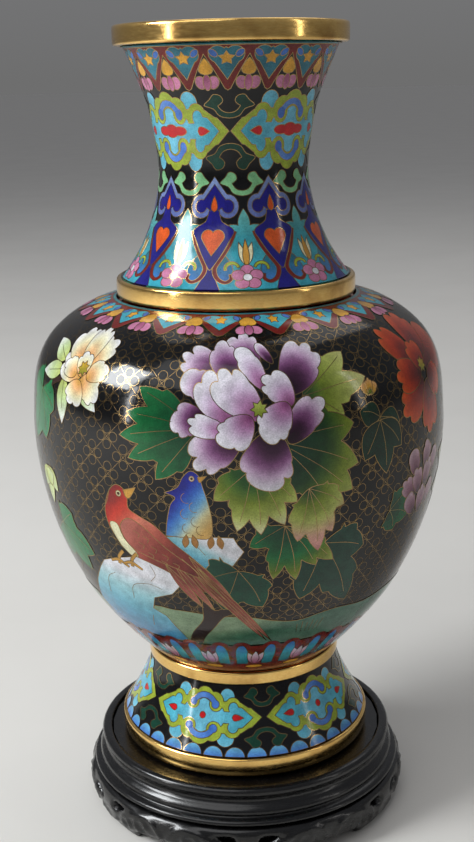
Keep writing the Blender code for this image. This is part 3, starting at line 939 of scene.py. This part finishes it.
def draw_neck(draw):
    """Three bands: tongues with stars, medallions, and spearheads over a turquoise field."""
    tongues, medallions, jewels = 15, 4, 9
    # the tongues' teal ground carries painted shade from the rim above
    for x in draw.around(tongues, -170.4):
        lappet(draw, x, 1.7, draw.across(360 / tongues), depth=14.2, ground=RIM_SHADE_PETROL, star_radius=2.3)
    draw.ring(0, 2.4, TEAL)
    for x in draw.around(tongues, -158.4):
        draw.cell(leaf(x, 12.2, 0, 5.6, 4.2, 0.6), AMBER)
        lotus(draw, x, 14.6, width=7.2, height=5.2)
    for x, gap in zip(draw.around(medallions, -137), draw.around(medallions, -92)):
        cartouche(draw, x, 30.2, half=draw.across(44.4), rise=13.0, centre=cloud)
        cloud_scroll(draw, gap, 18.8, 0.95, PINE)
        cloud_scroll(draw, gap, 42.2, 1.05, PINE, way=-1)
    for x in draw.around(jewels, -154):
        cloud_scroll(draw, x, 43.6, 0.95, MINT)
    draw.ring(62.4, draw.surface.length, fade((0, 62), (0, 80), LAGOON, TURQUOISE), "lower_field")
    for motif, start, top in ((crown, -154, 56.5), (spearhead, -174, 44.6), (bouquet, -154, 56.5)):
        for x in draw.around(jewels, start):
            motif(draw, x, top)


def draw_body(draw):
    """The shoulder's tongues, the garden, and a band of pointed petals above the waist."""
    tongues = 18
    lattice(draw, columns=2 * tongues, rise=12.2, top=8, bottom=134)
    front_garden(draw)
    back_garden(draw)
    for x in draw.around(tongues, -166):
        lappet(draw, x, 1.0, draw.across(360 / tongues), depth=12.4, ground=TURQUOISE, star_radius=3.0)
    draw.ring(0, 1.2, TEAL)
    for x in draw.around(tongues, -176):
        draw.cell(petal(x, 3.4, 180, 6.0, 9.5, 3), fade((x, 3), (x, 9), OCHRE, AMBER))
        lotus(draw, x, 11.4, width=11.5, height=5.2)
    draw.ring(132.4, 154, BRICK, "lower_band")
    arch = ((4.0, 147), (4.0, 138), (6.2, 132.4), (9.2, 133.2), (10.6, 138), (10.6, 147), (10.6, 147),
            (4.0, 147))
    for x in draw.around(tongues, -175):
        draw.pair(x, 133.4, 7.4, 4.6, 3.6, BRICK, "lower_band")
        for side in (-1, 1):
            draw.cell(curve(*[(x + side * px, y) for px, y in arch]),
                      fade((x, 132), (x, 147), BLUE, TURQUOISE, TEAL))
        for turn in (-24, 24, 0):
            draw.cell(leaf(x, 147, turn, 10.5, 4.6),
                      fade((x, 137), (x, 147), WHITE, (0.85, 0.66, 0.74), ROSE))
        draw.cell(oval(x, 149.4, 5.6, 1.3), AMBER)


def draw_foot(draw):
    """Medallions over a row of half discs, with a blossom where the medallions leave a gap."""
    for x in draw.around(36, -175):
        draw.cell(oval(x, draw.surface.length, 3.2, 3.4), fade((0, 21), (0, 25), SKY, BLUE))
    for x in draw.around(5, -89, 330):
        cartouche(draw, x, 11.3, half=draw.across(31.8), rise=10.2, centre=bead)
    gap = draw.across(-137)
    for x in (*draw.around(4, -56, 264), gap):
        cloud_scroll(draw, x, 1.2, 0.85, PINE)
        cloud_scroll(draw, x, 21.4, 0.85, PINE, way=-1)
    blossom(draw, gap, 11.3, 2.6)


def nearest(points, targets):
    """How far each point is from the nearest target."""
    return np.array([np.hypot(*(targets - p).T).min() for p in points])


def apron_scrolls(middle, half, low):
    """The middle lines of the carving on one sixth of the apron."""
    sweep = (1.5, 6.8), (5, 11.4), (11, 12.2), (17, 9.6), (20, 8.4)
    lines = []
    for side in (-1, 1):
        lines += [arc(middle + side * 10.5, low - 8.4, 2.6, -100 * side, 190 * side),
                  arc(middle + side * 18.4, low - 6.0, 2.2, 60 * side, 330 * side),
                  curve(*[(middle + side * px, low - py) for px, py in sweep], closed=False)]
    foot = [(middle - half + px, low - py) for px, py in ((-6, 4.4), (0, 2.6), (6, 4.4))]
    return [*lines, curve(*foot, closed=False)]


def carved_apron(look):
    """The bombe apron of the stand: pierced beside each foot, and carved with raised scrolls."""
    surface = Surface(outer_side("stand_apron"))
    wide, low = surface.radius.max(), surface.length
    draw = Drawing("apron", surface, wide, 0.9)
    sixth = draw.across(60)
    middles = draw.around(6, -150)
    turns = [math.pi * i / 12 for i in range(12, -1, -1)]
    arch = [(sixth * 0.24 * math.cos(a), low - 4.6 * math.sin(a) ** 0.6) for a in turns]
    border = [(middle + x, y) for middle in middles for x, y in arch]
    draw.cell([(-draw.edge, 0), (-draw.edge, low), *border, (draw.edge, low), (draw.edge, 0)], BLACK)
    scrolls = []
    for middle in middles:
        for side in (-1, 1):
            draw.cell(leaf(middle + side * (sixth / 2 - 4.0), low - 9.2, -76 * side, 7.5, 3.6, 0.6), BLACK)
        scrolls += apron_scrolls(middle, sixth / 2, low)
    spots, triangles, owners = draw.cut()
    triangles = [t for t, owner in zip(triangles, owners) if owner == 0]  # without the pierced holes

    ridge = np.array([p for line in scrolls for p in curve(*line, steps=6, closed=False)])
    rims = np.array([p for outline, _, _ in draw.cells for p in curve(*outline, steps=8)])
    rims = rims[np.abs(rims[:, 0]) < draw.edge - 0.5]  # without the seam at the back
    raised = CARVING * np.exp(-(nearest(spots, ridge) / CARVING_WIDTH) ** 2)
    rounded = RIM_DROP * np.exp(-(nearest(spots, rims) / RIM_WIDTH) ** 2)
    outside, _ = surface.points(spots[:, 0] / wide, spots[:, 1], raised - rounded - APRON_SINK)
    inward = min(p[0] for p in section("stand_apron")) / surface.radius_at(spots[:, 1])
    backs = outside * np.stack([inward, inward, np.ones_like(inward)], axis=-1)
    count = len(spots)
    faces = [t[::-1] for t in triangles] + [[i + count for i in t] for t in triangles]
    edges = {}
    for t in triangles:
        for a, b in zip(t, [*t[1:], t[0]]):
            edges.setdefault(frozenset((a, b)), []).append((a, b))
    for sides in edges.values():  # walls from front to back along every free edge
        a, b = sides[0]
        off_seam = abs(abs(spots[a][0]) - draw.edge) + abs(abs(spots[b][0]) - draw.edge)
        if len(sides) == 1 and off_seam > 1e-3:
            faces.append((a, b, b + count, a + count))
    apron = mesh_piece("carved_apron", np.concatenate([outside, backs]), faces, look)
    belongs(apron, "stand", ["stand_apron"])


# Materials -----------------------------------------------------------

class Look:
    """A material and short ways to add its nodes."""

    def __init__(self, name):
        self.material = bpy.data.materials.new(name)
        self.material.use_nodes = True
        self.tree = self.material.node_tree
        self.shader = self.tree.nodes["Principled BSDF"]
        self.place = self.tree.nodes.new("ShaderNodeTexCoord").outputs["Object"]

    def set(self, **values):
        """Values for the shader's own sockets, such as coat_weight for Coat Weight."""
        for name, value in values.items():
            self.shader.inputs[name.replace("_", " ").title().replace("Ior", "IOR")].default_value = value
        return self

    def put(self, socket, value):
        """A number, a colour or another node's output goes into the socket."""
        if isinstance(value, (int, float, tuple)):
            socket.default_value = (*linear(value), 1.0) if isinstance(value, tuple) else value
        else:
            self.tree.links.new(value, socket)

    def noise(self, scale, detail, stretch=(1, 1, 1), roughness=0.55):
        """Noise with that many features to the metre."""
        spread = self.tree.nodes.new("ShaderNodeMapping")
        spread.inputs["Scale"].default_value = stretch
        self.put(spread.inputs["Vector"], self.place)
        node = self.tree.nodes.new("ShaderNodeTexNoise")
        self.put(node.inputs["Vector"], spread.outputs[0])
        for name, value in (("Scale", scale), ("Detail", detail), ("Roughness", roughness)):
            node.inputs[name].default_value = value
        return node.outputs["Fac"]

    def pits(self, scale, size):
        """1 in small round spots at random, 0 elsewhere."""
        node = self.tree.nodes.new("ShaderNodeTexVoronoi")
        node.inputs["Scale"].default_value = scale
        self.put(node.inputs["Vector"], self.place)
        return self.ramp(node.outputs["Distance"], (0.0, size), (1.0, 0.0))

    def ramp(self, value, limits, results):
        """The value, stretched from the limits to the results."""
        node = self.tree.nodes.new("ShaderNodeMapRange")
        self.put(node.inputs["Value"], value)
        for name, number in zip(("From Min", "From Max", "To Min", "To Max"), (*limits, *results)):
            node.inputs[name].default_value = number
        return node.outputs["Result"]

    def mix(self, factor, a, b, mode="MIX"):
        node = self.tree.nodes.new("ShaderNodeMix")
        node.data_type, node.blend_type = "RGBA", mode
        self.put(node.inputs["Factor"], factor)
        self.put(node.inputs[6], a)
        self.put(node.inputs[7], b)
        return node.outputs[2]

    def bump(self, height, strength, distance):
        node = self.tree.nodes.new("ShaderNodeBump")
        node.inputs["Strength"].default_value = strength
        node.inputs["Distance"].default_value = distance
        self.put(node.inputs["Height"], height)
        self.put(self.shader.inputs["Normal"], node.outputs[0])

    def colour(self, value):
        self.put(self.shader.inputs["Base Color"], value)

    def rough(self, value):
        self.put(self.shader.inputs["Roughness"], value)


def enamel_look(name, base=None):
    """Polished glass enamel: grain in the colour, a few pits, and a surface that isn't quite level.

    Without a base colour it takes the colours that are stored with the mesh.
    """
    look = Look(name).set(metallic=0.0, ior=1.43)
    shade = base
    if base is None:
        cells = look.tree.nodes.new("ShaderNodeAttribute")
        cells.attribute_name = "enamel"
        shade = cells.outputs["Color"]
    for scale, dark in ((2400, (0.86, 0.86, 0.87)), (260, (0.86, 0.86, 0.86))):
        speckle = look.ramp(look.noise(scale, 3), (0.35, 0.65), (0.0, 1.0))
        shade = look.mix(1.0, shade, look.mix(speckle, dark, (1.0, 1.0, 1.0)), "MULTIPLY")
    look.colour(look.mix(look.pits(620, 0.10), shade, (0.02, 0.02, 0.02)))
    look.rough(look.ramp(look.noise(900, 3), (0.3, 0.7), (0.07, 0.17)))
    look.bump(look.noise(420, 2), 0.07, 0.0002)
    return look.material


def gold_look(name, pale, deep, brown, wear):
    """Gilding over brass: brushed along the turning, thin and brown in places."""
    look = Look(name).set(metallic=1.0)
    brushed = look.noise(900, 3, (1, 1, 14))
    gold = look.mix(look.ramp(brushed, (0.3, 0.7), (0.0, 1.0)), deep, pale)
    patina = look.ramp(look.noise(75, 5), (0.5, 0.72), (0.0, wear))
    look.colour(look.mix(patina, gold, brown))
    look.rough(look.ramp(look.noise(300, 4, (1, 1, 5)), (0.3, 0.7), (0.12, 0.22)))
    look.bump(brushed, 0.03, 0.0001)
    return look.material


def lacquer_look(name, base, worn):
    """Black lacquer over open-grained wood, dusty and rubbed in places."""
    look = Look(name).set(metallic=0.0, specular_ior_level=0.4, coat_weight=0.25, coat_roughness=0.10)
    grain = look.noise(220, 6, (1, 1, 9), 0.65)
    rubbed = look.ramp(look.noise(60, 5), (0.52, 0.75), (0.0, 0.5))
    dust = look.ramp(look.noise(1500, 2), (0.68, 0.78), (0.0, 0.25))
    look.colour(look.mix(dust, look.mix(rubbed, base, worn), (0.30, 0.29, 0.27)))
    look.rough(look.ramp(grain, (0.3, 0.7), (0.16, 0.34)))
    look.bump(grain, 0.10, 0.0003)
    return look.material


# Build ---------------------------------------------------------------

enamel = enamel_look("cell_enamel")
ground = enamel_look("black_enamel", BLACK)
glaze = enamel_look("counter_enamel", (0.16, 0.50, 0.62))
gilt = gold_look("gilt", (1.0, 0.86, 0.55), (0.90, 0.70, 0.38), (0.58, 0.38, 0.18), 0.6)
wire = gold_look("brass_wire", (0.74, 0.63, 0.44), (0.52, 0.42, 0.27), (0.26, 0.20, 0.13), 0.5)
copper = gold_look("copper", (0.85, 0.50, 0.35), (0.66, 0.33, 0.22), (0.30, 0.15, 0.10), 0.6)
lacquer = lacquer_look("black_lacquer", (0.022, 0.022, 0.026), (0.06, 0.05, 0.045))

for node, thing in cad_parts.items():
    bare = lacquer if node.startswith("stand") else glaze if node == "base_plate" else copper
    thing.data.materials.clear()
    thing.data.materials.append(bare)

shoulder, bowl = outer_side("shoulder_enamel"), outer_side("belly_enamel")
seam = tuple(np.mean([shoulder[-1], bowl[0]], axis=0))
neck = Surface(outer_side("neck_enamel"))
body = Surface([*shoulder[:-1], seam, *bowl[1:]])
foot = Surface(outer_side("foot_enamel"))

for name, surface, nodes in (("neck_ground", neck, ["neck_enamel"]),
                             ("body_ground", body, ["shoulder_enamel", "belly_enamel"]),
                             ("foot_ground", foot, ["foot_enamel"])):
    turned(name, surface.outline(), ground, "vase", nodes, closed=False)
for name in ("rim", "collar", "waist", "foot"):
    node = name + "_ring"
    turned(name + "_gilt", softened(section(node), 0.5, 0.2)[::-1], gilt, "vase", [node])
turned("lining_glaze", softened(section("inner_lining"), 1.5, closed=False), glaze, "vase", ["inner_lining"],
       closed=False)
turned("turned_frame", softened(section("stand_frame"), 0.8, 0.3), lacquer, "stand", ["stand_frame"])
carved_apron(lacquer)
for name, surface, radius, grid, draw_section in (("neck", neck, 30.0, 1.4, draw_neck),
                                                  ("body", body, body.radius.max(), 1.6, draw_body),
                                                  ("foot", foot, 41.0, 1.4, draw_foot)):
    drawing = Drawing(name, surface, radius, grid)
    draw_section(drawing)
    drawing.build(enamel, wire)


# Light and camera ----------------------------------------------------

middle = Vector((0, 0, TALL / 2))
for name, place, size, watts, colour in LAMPS:
    data = bpy.data.lights.new(name, "AREA")
    data.shape, data.energy, data.color = "RECTANGLE", watts, colour
    data.size, data.size_y = (side * TALL for side in size)
    light = shown(name, data)
    light.location = [along * TALL for along in place]
    light.rotation_euler = (middle - Vector(light.location)).to_track_quat("-Z", "Y").to_euler()

far = FLOOR_REACH * TALL
floor_mesh = bpy.data.meshes.new("floor")
floor_mesh.from_pydata([(-far, -far, 0), (far, -far, 0), (far, far, 0), (-far, far, 0)], [], [(0, 1, 2, 3)])
pale = Look("pale_floor").set(roughness=0.85)
pale.colour(pale.mix(pale.noise(9, 3), (0.80, 0.79, 0.77), (0.84, 0.83, 0.81)))
floor_mesh.materials.append(pale.material)
shown("floor", floor_mesh)

world = bpy.data.worlds.new("studio")
world.use_nodes = True
sky, links = world.node_tree.nodes, world.node_tree.links
height = sky.new("ShaderNodeSeparateXYZ")
tone = sky.new("ShaderNodeValToRGB")
tone.color_ramp.elements[0].color = SKY_LOW
tone.color_ramp.elements[1].color = SKY_HIGH
tone.color_ramp.elements[1].position = 0.35
links.new(sky.new("ShaderNodeTexCoord").outputs["Generated"], height.inputs[0])
links.new(height.outputs["Z"], tone.inputs[0])
links.new(tone.outputs[0], sky["Background"].inputs["Color"])
sky["Background"].inputs["Strength"].default_value = SKY_STRENGTH
bpy.context.scene.world = world
bpy.context.scene.view_settings.view_transform = "Standard"

camera_data = bpy.data.cameras.new("camera")
camera_data.lens, camera_data.sensor_width = LENS, SENSOR
camera = shown("camera", camera_data)
yaw = Matrix.Rotation(math.radians(CAMERA_YAW), 4, "Z")
pitch = Matrix.Rotation(math.radians(90 - CAMERA_PITCH), 4, "X")
roll = Matrix.Rotation(math.radians(CAMERA_ROLL), 4, "Z")
camera.matrix_world = Matrix.Translation((0, -CAMERA_BACK * TALL, CAMERA_UP * TALL)) @ yaw @ pitch @ roll
bpy.context.scene.camera = camera
